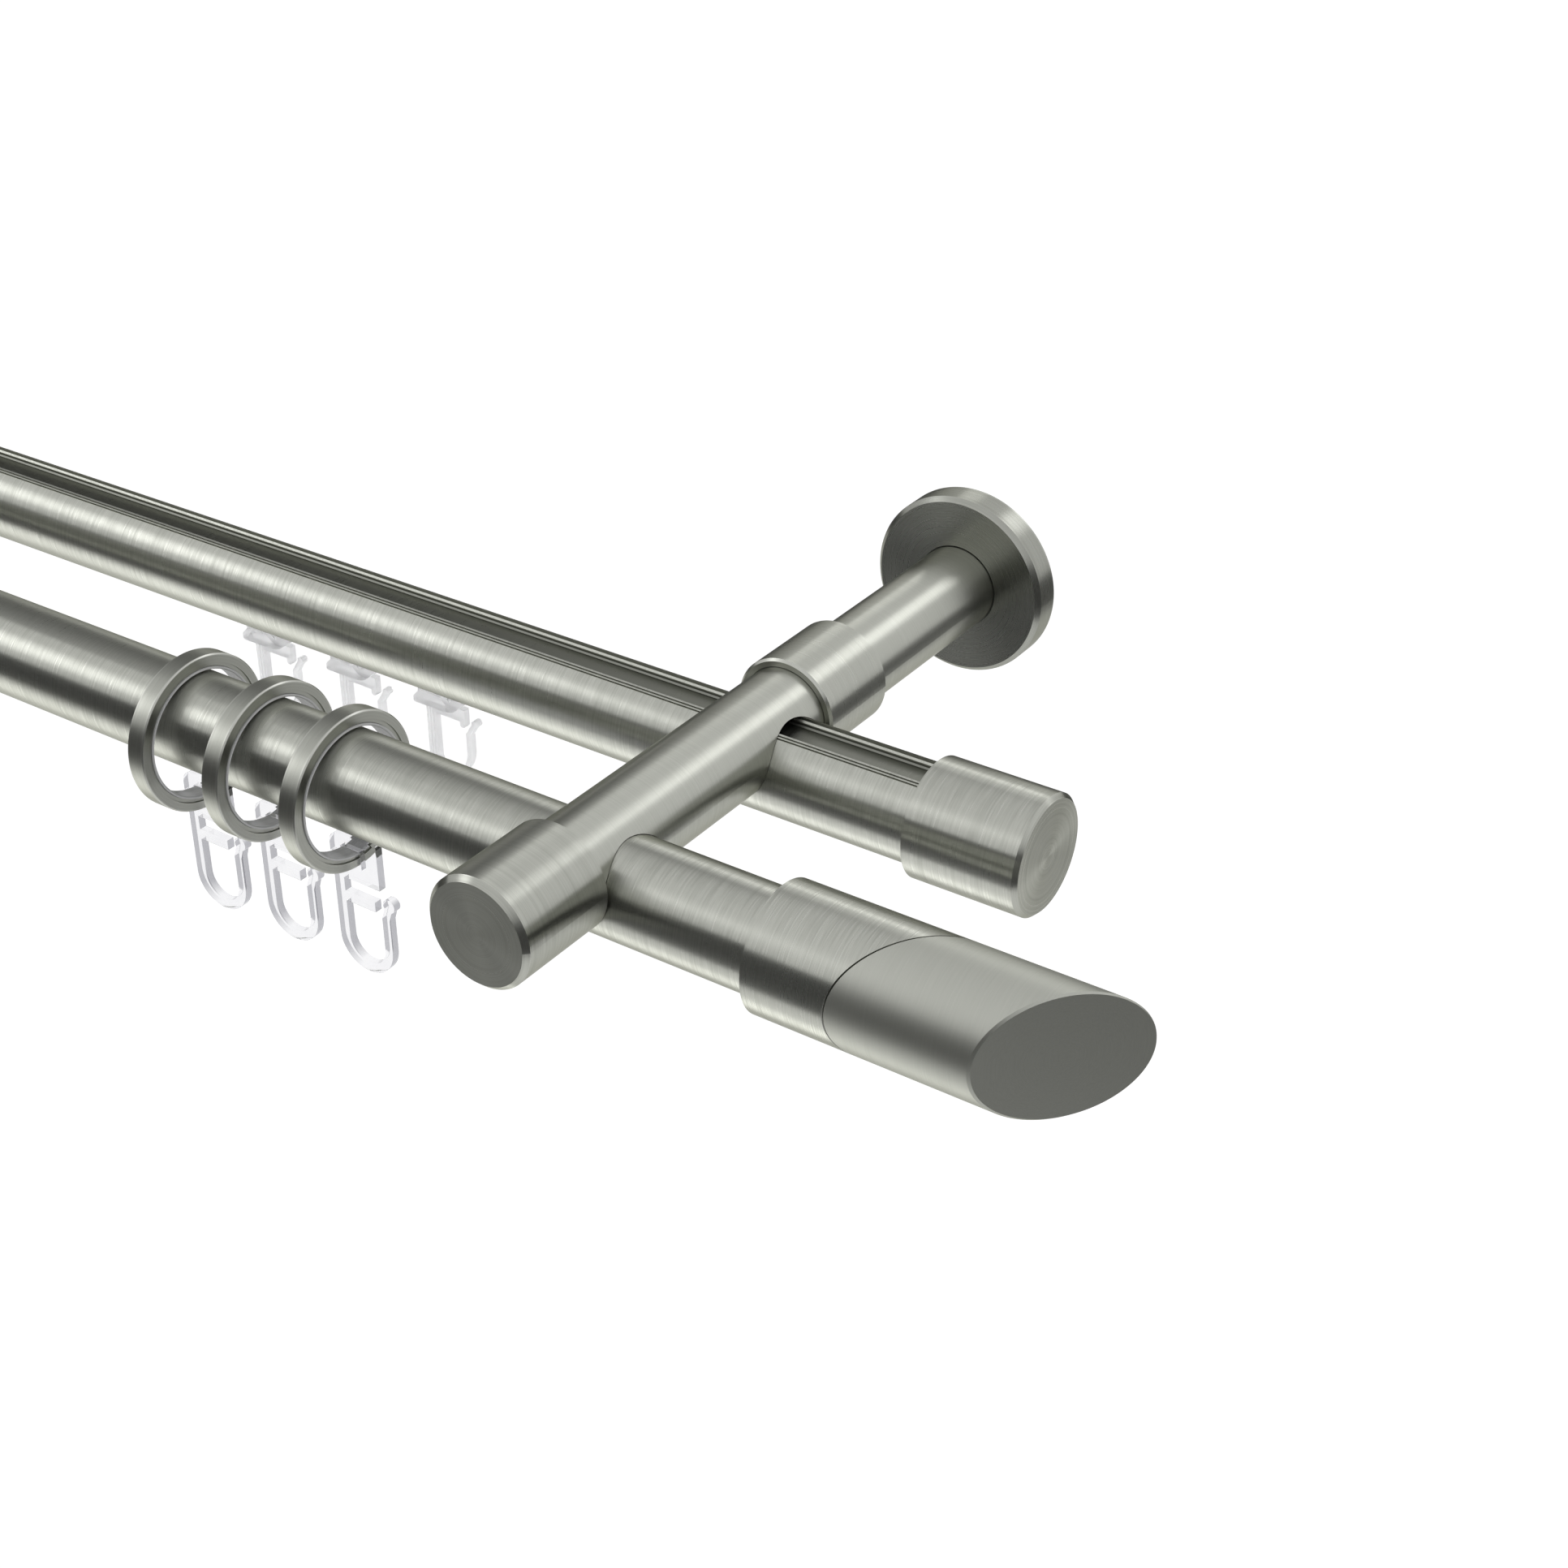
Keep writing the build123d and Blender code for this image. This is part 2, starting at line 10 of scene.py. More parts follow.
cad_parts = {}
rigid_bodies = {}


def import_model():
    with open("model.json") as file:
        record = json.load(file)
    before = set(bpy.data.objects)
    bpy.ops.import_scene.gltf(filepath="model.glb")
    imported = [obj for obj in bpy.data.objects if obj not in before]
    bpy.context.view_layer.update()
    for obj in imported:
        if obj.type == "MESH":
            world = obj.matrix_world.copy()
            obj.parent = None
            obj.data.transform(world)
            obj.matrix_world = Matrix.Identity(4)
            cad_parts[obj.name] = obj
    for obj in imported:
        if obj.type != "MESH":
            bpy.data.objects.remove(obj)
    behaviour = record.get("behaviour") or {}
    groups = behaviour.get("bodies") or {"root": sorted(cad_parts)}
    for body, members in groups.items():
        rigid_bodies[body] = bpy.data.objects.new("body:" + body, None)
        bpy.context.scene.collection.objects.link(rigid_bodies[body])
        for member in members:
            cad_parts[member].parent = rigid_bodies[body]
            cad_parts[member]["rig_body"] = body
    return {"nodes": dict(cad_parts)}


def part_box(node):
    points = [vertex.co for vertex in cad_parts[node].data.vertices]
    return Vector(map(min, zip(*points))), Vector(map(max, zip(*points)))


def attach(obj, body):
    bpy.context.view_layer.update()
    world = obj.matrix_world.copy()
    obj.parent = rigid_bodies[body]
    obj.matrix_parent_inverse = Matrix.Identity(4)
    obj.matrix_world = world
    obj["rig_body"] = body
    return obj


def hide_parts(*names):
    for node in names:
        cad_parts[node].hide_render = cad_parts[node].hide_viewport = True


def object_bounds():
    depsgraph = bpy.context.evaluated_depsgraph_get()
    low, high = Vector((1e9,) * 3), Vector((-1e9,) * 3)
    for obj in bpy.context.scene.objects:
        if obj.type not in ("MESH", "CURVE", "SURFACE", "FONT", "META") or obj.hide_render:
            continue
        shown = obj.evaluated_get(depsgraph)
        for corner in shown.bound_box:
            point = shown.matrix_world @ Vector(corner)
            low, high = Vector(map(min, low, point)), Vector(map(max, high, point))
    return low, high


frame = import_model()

bl_info = {
    "name": "Double Curtain Rod",
    "version": (1, 0, 0),
    "blender": (4, 5, 0),
    "location": "3D View > Sidebar > Curtain Rod",
    "description": "Finishes a double curtain rod in brushed steel and clear plastic, and sets its studio",
    "category": "Object",
}

cad_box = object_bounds()

# The two sides, the numbers of the rings and gliders, and the axes along the rods (X) and towards the wall (Y)
SIDES = ("right", "left")
NUMBERS = (1, 2, 3)
ROD_WAY, WALL_WAY = 0, 1
BRACKET_SCREWS = ("post_screw", "rosette_screw", "collar_screw", "rod_clamp_screws", "end_cap_screw")

# The finials' slanted ends, and the part of the rear rod's top that the groove takes, from the rod's middle; that part
# gets painted shade
FINIAL_CUT = radians(50)
GROOVE_HALF = 0.0039
GROOVE_FLOOR = 0.006
GROOVE_RIM = 0.0082

# What fine marks, bands of marks and clouds each add to the shade of brushed steel, and how far the shade spreads
MARKS, BANDS, CLOUDS = 0.74, 0.14, 0.12
SPREAD = 0.19

# Angles between the faces of a moulded piece: flat enough to join, sharp enough to round, sharp enough for a crease
FLAT, SHARP, CREASE = radians(0.6), radians(28), radians(32)

FLOOR_RADIUS = 16

# The ring of dark cards: how far it is stretched along the rods and moved along them, and the slants of its foot
# and of its top, which is lower on the right, as rise per metre
RING_STRETCH, RING_SHIFT = 2.0, -1.8
FOOT_TO_WALL, FOOT_TO_RIGHT = 0.26, -0.1
TOP_RIGHT_DROP, TOP_RIGHT, TOP_LEFT = -0.17, -0.27, 0.04

# The card high on the left: its direction from the rods, its distance and its width
ABOVE_WAY, ABOVE_DISTANCE, ABOVE_WIDTH = (-0.80, 0.35, 0.49), 1.5, 1.1

# Where the lamps point, and each soft box: name, direction from there, distance, width and height, brightness
LAMP_AIM = Vector((-0.05, -0.1, 0))
LAMPS = (
    ("soft_front_left", (-0.74, -0.46, 0.49), 1.6, (0.65, 0.45), 2.1),
    ("soft_back_left", (-0.36, 0.82, 0.44), 1.6, (0.36, 0.2), 1.9),
    ("soft_back_right", (0.30, 0.75, 0.58), 1.6, (0.6, 0.35), 2.1),
    ("soft_under", (-0.56, -0.20, -0.80), 1.0, (0.3, 1.1), 1.7),
)


def middle(node):
    """Middle of a node's box."""
    low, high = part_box(node)
    return (low + high) / 2


def colour(name, text, default):
    """A colour that the sidebar shows as a swatch."""
    return FloatVectorProperty(name=name, description=text, default=default, size=3, min=0, max=1, subtype="COLOR")


def length(name, text, default):
    """A length in metres."""
    return FloatProperty(name=name, description=text, default=default, min=0, precision=5, unit="LENGTH")


def share(name, text, default):
    """A number from 0 to 1."""
    return FloatProperty(name=name, description=text, default=default, min=0, max=1, subtype="FACTOR")


def angle(name, text, degrees):
    """An angle that the sidebar shows in degrees."""
    return FloatProperty(name=name, description=text, default=radians(degrees), subtype="ANGLE")


class CurtainRodSteel(PropertyGroup):
    """Colours and marks of the steel parts."""

    light: colour("Light steel", "Colour of the steel between its brush marks", (0.480, 0.487, 0.447))
    dark: colour("Dark steel", "Colour of the steel in its brush marks", (0.360, 0.367, 0.332))
    # This colour is a painted highlight: the bright line along the rims of the rosettes, collars and rings, where
    # their edges catch the light
    rim_highlight: colour("Worn steel", "Colour of a rim that handling has rubbed bright", (0.72, 0.725, 0.69))
    # This colour is painted shade: it darkens the steel inside the rear rod's groove, standing in for the shadow in
    # that recess
    groove: colour("Groove", "Colour of the unbrushed steel in the rear rod's groove", (0.18, 0.184, 0.165))
    zinc: colour("Zinc", "Colour of the plate and the screws", (0.56, 0.58, 0.60))
    zinc_dark: colour("Dark zinc", "Colour of the darker zinc crystals", (0.40, 0.42, 0.44))
    line: length("Brush line", "Width of one brush mark", 0.00032)
    band: length("Brush band", "Width of a lighter or darker band of marks", 0.0012)
    depth: length("Mark depth", "How deep the brush marks are", 0.0000008)
    # The bright edge is the width of the painted highlight along a rim
    edge: length("Bright edge", "Width of the rubbed edge of a cap", 0.0006)
    gloss: share("Roughness", "Roughness of the brushed steel", 0.31)
    grain: share("Grain", "How far the brush marks draw out a highlight", 0.7)


class CurtainRodPlastic(PropertyGroup):
    """Colours and edges of the moulded parts."""

    clear: colour("Clear plastic", "Colour of the clear hooks", (0.90, 0.90, 0.91))
    clear_flow: colour("Clear flow lines", "Colour of the flow lines in the clear hooks", (0.84, 0.84, 0.86))
    # The wall and underside colours are painted shade: they grey the hooks' narrow walls and darken their undersides,
    # standing in for the shade and darker refractions that these faces show
    wall: colour("Clear plastic walls", "Colour of the hooks' narrow walls", (0.27, 0.27, 0.295))
    under: colour("Clear undersides", "Colour of the hooks' undersides", (0.16, 0.16, 0.18))
    milky: colour("Milky plastic", "Colour of the gliders", (0.975, 0.975, 0.98))
    milky_flow: colour("Milky flow lines", "Colour of the flow lines in the gliders", (0.92, 0.92, 0.93))
    liner: colour("Ring liner", "Colour of the sleeve inside each ring", (0.46, 0.465, 0.47))
    liner_line: colour("Liner lines", "Colour of the fine lines in a ring's sleeve", (0.60, 0.60, 0.60))
    hook_edge: length("Hook edge", "Radius of the hooks' moulded edges", 0.00012)
    glider_edge: length("Glider edge", "Radius of the gliders' moulded edges", 0.00018)


class CurtainRodStudio(PropertyGroup):
    """Floor, cards and camera."""

    floor: colour("Floor", "Colour of the floor", (0.86, 0.86, 0.86))
    card: colour("Card", "Colour of the dark cards that the steel mirrors", (0.11, 0.11, 0.11))
    card_corner: colour("Card corner", "Colour of the cards in the far right corner", (0.26, 0.26, 0.26))
    card_above: colour("Card above", "Colour of the card high on the left", (0.16, 0.16, 0.16))
    floor_drop: length("Floor drop", "How far the floor lies under the wall brackets", 1.9)
    card_distance: length("Card distance", "How far the dark cards stand from the rods", 2.0)
    card_top: length("Card top", "How far the cards reach above the rods", 0.40)
    card_bottom: length("Card bottom", "How far the cards reach below the rods", 1.66)
    lens: FloatProperty(name="Lens", description="Focal length in millimetres", default=57.12, min=20, max=200)
    view_side: angle("View side", "Turn of the camera to the right", 34.234)
    view_rise: angle("View rise", "Height of the camera's view", 31.277)
    place: FloatVectorProperty(
        name="Camera", description="Place of the camera", default=(0.237466, -0.421076, 0.239801), size=3,
        subtype="TRANSLATION")


class Finish:
    """A node material under construction, with its shader at hand."""

    def __init__(self, name, roughness, **sockets):
        self.material = bpy.data.materials.new(name)
        self.material.use_nodes = True
        self.tree = self.material.node_tree
        self.shader = self.tree.nodes["Principled BSDF"]
        self.shader.inputs["Roughness"].default_value = roughness
        for socket, value in sockets.items():
            self.shader.inputs[socket.replace("_", " ")].default_value = value

    def node(self, kind, **settings):
        """A new shader node."""
        made = self.tree.nodes.new("ShaderNode" + kind)
        for key, value in settings.items():
            setattr(made, key, value)
        return made

    def join(self, source, target):
        """A link from one socket to another."""
        self.tree.links.new(source, target)

    def math(self, operation, first, second=None):
        """One step of arithmetic on a socket."""
        made = self.node("Math", operation=operation)
        for slot, value in zip(made.inputs, (first, second)):
            if isinstance(value, bpy.types.NodeSocket):
                self.join(value, slot)
            elif value is not None:
                slot.default_value = value
        return made.outputs[0]

    def between(self, source, low, high, to_low, to_high):
        """A socket's value moved from one range to another."""
        made = self.node("MapRange")
        self.join(source, made.inputs["Value"])
        made.inputs["From Min"].default_value = low
        made.inputs["From Max"].default_value = high
        made.inputs["To Min"].default_value = to_low
        made.inputs["To Max"].default_value = to_high
        return made.outputs["Result"]

    def mix(self, factor, first, second):
        """Two colours mixed by a socket or a number."""
        made = self.node("Mix", data_type="RGBA", blend_type="MIX")
        if isinstance(factor, bpy.types.NodeSocket):
            self.join(factor, made.inputs[0])
        else:
            made.inputs[0].default_value = factor
        for slot, value in ((made.inputs[6], first), (made.inputs[7], second)):
            if isinstance(value, bpy.types.NodeSocket):
                self.join(value, slot)
            else:
                slot.default_value = (*value, 1)
        return made.outputs[2]

    def parts(self, vector):
        """The three parts of a vector."""
        split = self.node("SeparateXYZ")
        self.join(vector, split.inputs[0])
        return split.outputs

    def normal(self):
        """Direction in which the surface faces."""
        return self.node("NewGeometry").outputs["Normal"]

    def place(self, centre=(0, 0, 0)):
        """Object coordinates measured from a point."""
        where = self.node("TexCoord")
        shift = self.node("Mapping", vector_type="POINT")
        shift.inputs["Location"].default_value = -Vector(centre)
        self.join(where.outputs["Object"], shift.inputs["Vector"])
        return shift.outputs["Vector"]

    def noise(self, vector, scale, detail=2.0, rough=0.5):
        """Noise from 0 to 1 at a vector."""
        made = self.node("TexNoise", noise_dimensions="3D")
        made.inputs["Scale"].default_value = scale
        made.inputs["Detail"].default_value = detail
        made.inputs["Roughness"].default_value = rough
        self.join(vector, made.inputs["Vector"])
        return made.outputs["Fac"]

    def turned(self, centre, axis):
        """Along a turned part, out from its middle, and a little of the way round."""
        ways = self.parts(self.place(centre))
        across = [ways[other] for other in range(3) if other != axis]
        flat = self.node("CombineXYZ")
        self.join(across[0], flat.inputs[0])
        self.join(across[1], flat.inputs[1])
        reach = self.node("VectorMath", operation="LENGTH")
        self.join(flat.outputs[0], reach.inputs[0])
        return ways[axis], reach.outputs["Value"], self.math("ADD", across[0], across[1])

    def facing(self, direction, low, high):
        """0 where the surface faces along a direction, either way, and 1 where it doesn't."""
        made = self.node("VectorMath", operation="DOT_PRODUCT")
        self.join(self.normal(), made.inputs[0])
        made.inputs[1].default_value = direction
        return self.between(self.math("ABSOLUTE", made.outputs["Value"]), low, high, 1, 0)

    def grain(self, centre, direction, amount):
        """Draws highlights out across brush marks that run round an axis."""
        self.shader.inputs["Anisotropic"].default_value = amount
        round_way = self.node("VectorMath", operation="CROSS_PRODUCT")
        round_way.inputs[0].default_value = direction
        self.join(self.place(centre), round_way.inputs[1])
        across = self.node("VectorMath", operation="CROSS_PRODUCT")
        self.join(self.normal(), across.inputs[0])
        self.join(round_way.outputs[0], across.inputs[1])
        self.join(across.outputs[0], self.shader.inputs["Tangent"])

    def stretched(self, along, out, round_way, fine, slow):
        """A vector that runs fast along and outwards and slowly round."""
        made = self.node("CombineXYZ")
        for slot, value, speed in zip(made.inputs, (along, out, round_way), (fine, fine, slow)):
            self.join(self.math("MULTIPLY", value, speed), slot)
        return made.outputs[0]

    def inside(self, low, high):
        """1 between two corners of a box and 0 elsewhere."""
        within = None
        for value, near, far in zip(self.parts(self.place()), low, high):
            part = self.math("COMPARE", value, (near + far) / 2)
            part.node.inputs[2].default_value = (far - near) / 2
            within = part if within is None else self.math("MULTIPLY", within, part)
        return within

    def bump(self, height, distance):
        """Bump of a real depth on the shader."""
        made = self.node("Bump")
        made.inputs["Distance"].default_value = distance
        self.join(height, made.inputs["Height"])
        self.join(made.outputs["Normal"], self.shader.inputs["Normal"])

    def done(self, tint, roughness):
        """Puts a colour and a roughness that vary on the shader, and hands over the material."""
        self.join(tint, self.shader.inputs["Base Color"])
        self.join(roughness, self.shader.inputs["Roughness"])
        return self.material


def brushed_steel(node, axis, contrast=1.0, roughness=None, level=1.0, grain=None, groove=None, wear=0.0,
                  end_level=1.0, end_way=None):
    """Steel with brush marks round its axis, on its sides and its flat ends alike.

    contrast is that of the marks, and level darkens the steel. end_level darkens its flat ends as painted shade.
    groove is a box inside which the steel takes the dark groove colour as painted shade, wear is how bright a painted
    highlight makes the rims, and end_way is where slanted ends face.
    """
    steel = bpy.context.scene.curtain_rod_steel
    rough = steel.gloss if roughness is None else roughness
    finish = Finish(node + "_steel", rough, Metallic=1.0, Specular_Tint=(0.55, 0.55, 0.5, 1))
    low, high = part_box(node)
    centre = (low + high) / 2
    direction = [float(way == axis) for way in range(3)]
    finish.grain(centre, direction, steel.grain if grain is None else grain)
    along, out, round_way = finish.turned(centre, axis)
    side = finish.facing(end_way or direction, low=0.9, high=0.98)
    round_way = finish.math("MULTIPLY", round_way, side)

    marks = finish.noise(finish.stretched(along, out, round_way, fine=1 / steel.line, slow=70), scale=1, rough=0.7)
    bands = finish.noise(finish.stretched(along, out, round_way, fine=1 / steel.band, slow=25), scale=1)
    clouds = finish.noise(finish.place(centre), scale=28, detail=3)
    shade = finish.math("ADD", finish.math("MULTIPLY", marks, MARKS), finish.math("MULTIPLY", bands, BANDS))
    shade = finish.math("ADD", shade, finish.math("MULTIPLY", clouds, CLOUDS))
    spread = SPREAD / contrast
    shade = finish.between(shade, 0.5 - spread, 0.5 + spread, 0, 1)

    tint = finish.mix(shade, Vector(steel.dark) * level, Vector(steel.light) * level)
    # Painted shade: the flat ends, picked by the way they face, take a darker copy of the steel, standing in for the
    # darker light that they mirror
    if end_level < 1:
        end_tint = finish.mix(shade, Vector(steel.dark) * end_level, Vector(steel.light) * end_level)
        tint = finish.mix(side, end_tint, tint)
    # Painted highlight: a bright band along the outer rim at each end of the part, patchy with the bands of marks,
    # where the edges catch the light
    if wear:
        across = 2 if axis == ROD_WAY else 0
        radius = (high[across] - low[across]) / 2
        half = (high[axis] - low[axis]) / 2
        outer = finish.between(out, radius - steel.edge, radius, 0, 1)
        last = finish.between(finish.math("ABSOLUTE", along), half - steel.edge, half, 0, 1)
        patchy = finish.between(bands, 0.3, 0.7, 0.5 * wear, wear)
        rim = finish.math("MULTIPLY", finish.math("MULTIPLY", outer, last), patchy)
        tint = finish.mix(rim, tint, steel.rim_highlight)
    # Painted shade: the box over the rear rod's groove takes the dark groove colour, standing in for the shadow in the
    # recess
    if groove is not None:
        tint = finish.mix(finish.inside(*groove), tint, steel.groove)
    finish.bump(marks, steel.depth)
    return finish.done(tint, finish.between(shade, 0, 1, rough * 1.18, rough * 0.84))


def zinc_plate(node):
    """Zinc with the large soft crystals of a dipped plate."""
    steel = bpy.context.scene.curtain_rod_steel
    finish = Finish(node + "_zinc", 0.4, Metallic=1.0)
    centre = middle(node)
    cells = finish.node("TexVoronoi", feature="F1")
    cells.inputs["Scale"].default_value = 260
    finish.join(finish.place(centre), cells.inputs["Vector"])
    grain = finish.noise(finish.place(centre), scale=900, detail=3)
    crystals = finish.between(cells.outputs["Color"], 0, 1, 0.1, 0.5)
    speckle = finish.mix(grain, (0.42, 0.43, 0.44), (0.66, 0.67, 0.68))
    tint = finish.mix(0.25, finish.mix(crystals, steel.zinc, steel.zinc_dark), speckle)
    finish.bump(grain, 0.00002)
    return finish.done(tint, finish.between(grain, 0.2, 0.8, 0.32, 0.5))


def clear_plastic(name):
    """Clear moulded plastic with flow lines and faint haze, and painted shade that greys its narrow walls and darkens
    its undersides.
    """
    plastic = bpy.context.scene.curtain_rod_plastic
    finish = Finish(name, 0.03, IOR=1.12, Transmission_Weight=1.0)
    where = finish.place()
    flow = finish.noise(where, scale=210)
    haze = finish.noise(where, scale=1400, detail=3, rough=0.6)
    tint = finish.mix(finish.between(flow, 0.3, 0.7, 0, 1), plastic.clear, plastic.clear_flow)
    # Painted shade: faces turned along the rods grey to the wall colour, and faces turned down darken to the underside
    # colour
    ways = finish.parts(finish.normal())
    wall = finish.between(finish.math("ABSOLUTE", ways["X"]), 0.35, 0.9, 0, 1)
    under = finish.between(ways["Z"], -0.98, -0.75, 1, 0)
    tint = finish.mix(under, finish.mix(wall, tint, plastic.wall), plastic.under)
    return finish.done(tint, finish.between(haze, 0.3, 0.7, 0.01, 0.05))


def milky_plastic(name):
    """Milky moulded plastic that lets a little light through."""
    plastic = bpy.context.scene.curtain_rod_plastic
    finish = Finish(name, 0.4, IOR=1.15, Transmission_Weight=0.7)
    where = finish.place()
    flow = finish.noise(where, scale=260, detail=3)
    grain = finish.noise(where, scale=3200)
    tint = finish.mix(finish.between(flow, 0.3, 0.7, 0, 1), plastic.milky, plastic.milky_flow)
    finish.bump(grain, 0.000012)
    return finish.done(tint, finish.between(grain, 0.3, 0.7, 0.34, 0.5))


def liner_plastic(node):
    """The thin sleeve in a ring, with the fine lines of its drawing."""
    plastic = bpy.context.scene.curtain_rod_plastic
    finish = Finish(node + "_plastic", 0.35, IOR=1.5)
    along, out, round_way = finish.turned(middle(node), ROD_WAY)
    lines = finish.noise(finish.stretched(along, out, round_way, fine=2600, slow=60), scale=1)
    tint = finish.mix(finish.between(lines, 0.3, 0.7, 0, 1), plastic.liner, plastic.liner_line)
    finish.bump(lines, 0.00001)
    return finish.done(tint, finish.between(lines, 0.3, 0.7, 0.28, 0.44))


def coat(node, material):
    """Gives a CAD node its finish."""
    piece = frame["nodes"][node]
    piece.data.materials.clear()
    piece.data.materials.append(material)


def brush(node, axis, **marks):
    """Gives a CAD node a brushed finish."""
    coat(node, brushed_steel(node, axis, **marks))


def moulded(node, radius, name, plastic, smooth):
    """A moulded copy of a node, with its sharp edges rounded, that rides on the node's body in its place."""
    shape = bmesh.new()
    shape.from_mesh(frame["nodes"][node].data)
    bmesh.ops.remove_doubles(shape, verts=shape.verts, dist=1e-6)
    bmesh.ops.dissolve_limit(
        shape, angle_limit=FLAT, verts=shape.verts, edges=shape.edges, use_dissolve_boundaries=False)
    bmesh.ops.recalc_face_normals(shape, faces=shape.faces)
    edges = [edge for edge in shape.edges if len(edge.link_faces) == 2 and edge.calc_face_angle(0) > SHARP]
    bmesh.ops.bevel(
        shape, geom=edges, offset=radius, offset_type="OFFSET", segments=3, profile=0.5, affect="EDGES",
        clamp_overlap=True, material=-1)
    bmesh.ops.triangulate(shape, faces=[face for face in shape.faces if len(face.verts) > 4])
    piece = linked(name, shape, plastic)
    if smooth:
        piece.data.shade_smooth()
        piece.data.set_sharp_from_angle(angle=CREASE)
        piece.modifiers.new("Even shading", "WEIGHTED_NORMAL").keep_sharp = True
    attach(piece, frame["nodes"][node]["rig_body"])
    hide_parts(node)
    return piece


def linked(name, shape, material):
    """A new object in the scene, made from a bmesh."""
    mesh = bpy.data.meshes.new(name)
    shape.to_mesh(mesh)
    shape.free()
    mesh.materials.append(material)
    piece = bpy.data.objects.new(name, mesh)
    bpy.context.scene.collection.objects.link(piece)
    return piece


class CURTAINROD_OT_rods(Operator):
    """Brush the two rods"""

    bl_idname = "curtain_rod.rods"
    bl_label = "Rods"

    def execute(self, context):
        brush("front_rod", ROD_WAY)
        low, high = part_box("rear_track")
        centre = (low + high) / 2
        brush("rear_track", ROD_WAY, groove=(
            (low.x, centre.y - GROOVE_HALF, centre.z + GROOVE_FLOOR),
            (high.x, centre.y + GROOVE_HALF, centre.z + GROOVE_RIM)))
        return {"FINISHED"}


class CURTAINROD_OT_ends(Operator):
    """Turn and polish the finials and the rear rod's caps"""

    bl_idname = "curtain_rod.ends"
    bl_label = "Finials and caps"

    def execute(self, context):
        for side, out in zip(SIDES, (1, -1)):
            cut = (out * sin(FINIAL_CUT), -cos(FINIAL_CUT), 0)
            brush(f"{side}_finial_sleeve", ROD_WAY, roughness=0.29)
            brush(f"{side}_finial_tip", ROD_WAY, contrast=0.25, roughness=0.42, grain=0.0, end_level=0.72, end_way=cut)
            brush(f"{side}_rear_cap", ROD_WAY, contrast=0.9, roughness=0.30, grain=0.9)
            for part in ("finial_screw", "rear_cap_screw"):
                coat(f"{side}_{part}", zinc_plate(f"{side}_{part}"))
        return {"FINISHED"}


class CURTAINROD_OT_brackets(Operator):
    """Finish the two wall brackets"""

    bl_idname = "curtain_rod.brackets"
    bl_label = "Brackets"

    def execute(self, context):
        for side in SIDES:
            brush(f"{side}_rosette", WALL_WAY, contrast=0.6, roughness=0.28, level=0.8, wear=0.4)
            brush(f"{side}_post", WALL_WAY, contrast=0.45, roughness=0.3, grain=0.4)
            brush(f"{side}_arm", WALL_WAY, contrast=0.45, roughness=0.3, grain=0.4)
            brush(f"{side}_collar", WALL_WAY, contrast=0.5, roughness=0.28, wear=0.6)
            brush(f"{side}_end_cap", WALL_WAY, contrast=0.7, roughness=0.30, grain=0.9, end_level=0.7)
            for part in ("mount_plate", *BRACKET_SCREWS):
                coat(f"{side}_{part}", zinc_plate(f"{side}_{part}"))
        return {"FINISHED"}


class CURTAINROD_OT_rings(Operator):
    """Turn the rings and line them"""

    bl_idname = "curtain_rod.rings"
    bl_label = "Rings"

    def execute(self, context):
        for number in NUMBERS:
            brush(f"ring_{number}", ROD_WAY, contrast=0.6, roughness=0.34, level=0.85, grain=0.4, wear=0.7)
            coat(f"ring_liner_{number}", liner_plastic(f"ring_liner_{number}"))
        return {"FINISHED"}


class CURTAINROD_OT_hooks(Operator):
    """Mould the clear hooks on the rings"""

    bl_idname = "curtain_rod.hooks"
    bl_label = "Ring hooks"

    def execute(self, context):
        plastic = clear_plastic("hook_clear")
        edge = context.scene.curtain_rod_plastic.hook_edge
        for number in NUMBERS:
            piece = moulded(f"ring_hook_{number}", edge, f"moulded_hook_{number}", plastic, smooth=False)
        return {"FINISHED"}


class CURTAINROD_OT_gliders(Operator):
    """Mould the milky gliders in the rear rod"""

    bl_idname = "curtain_rod.gliders"
    bl_label = "Gliders"

    def execute(self, context):
        plastic = milky_plastic("glider_milky")
        edge = context.scene.curtain_rod_plastic.glider_edge
        for number in NUMBERS:
            piece = moulded(f"glider_{number}", edge, f"moulded_glider_{number}", plastic, smooth=True)
        return {"FINISHED"}


def seen_directly(tree, lamp_side, seen_side):
    """seen_side for the camera and for what shows in metal and glass, lamp_side for the light on the object."""
    path = tree.nodes.new("ShaderNodeLightPath")
    most = path.outputs["Is Camera Ray"]
    for ray in ("Is Glossy Ray", "Is Transmission Ray"):
        larger = tree.nodes.new("ShaderNodeMath")
        larger.operation = "MAXIMUM"
        tree.links.new(most, larger.inputs[0])
        tree.links.new(path.outputs[ray], larger.inputs[1])
        most = larger.outputs[0]
    level = tree.nodes.new("ShaderNodeMapRange")
    level.inputs["To Min"].default_value = lamp_side
    level.inputs["To Max"].default_value = seen_side
    tree.links.new(most, level.inputs["Value"])
    return level.outputs["Result"]


def floor_paint(studio):
    """Pale paint that shows white and keeps the object's shadow."""
    paint = Finish("floor_paint", 0.7)
    grain = paint.noise(paint.place(), scale=40)
    tint = paint.mix(paint.between(grain, 0, 1, 0, 0.04), studio.floor, (0.8, 0.8, 0.8))
    paint.join(tint, paint.shader.inputs["Base Color"])
    paint.shader.inputs["Emission Color"].default_value = (1, 1, 1, 1)
    paint.join(seen_directly(paint.tree, lamp_side=0, seen_side=0.35), paint.shader.inputs["Emission Strength"])
    return paint.material


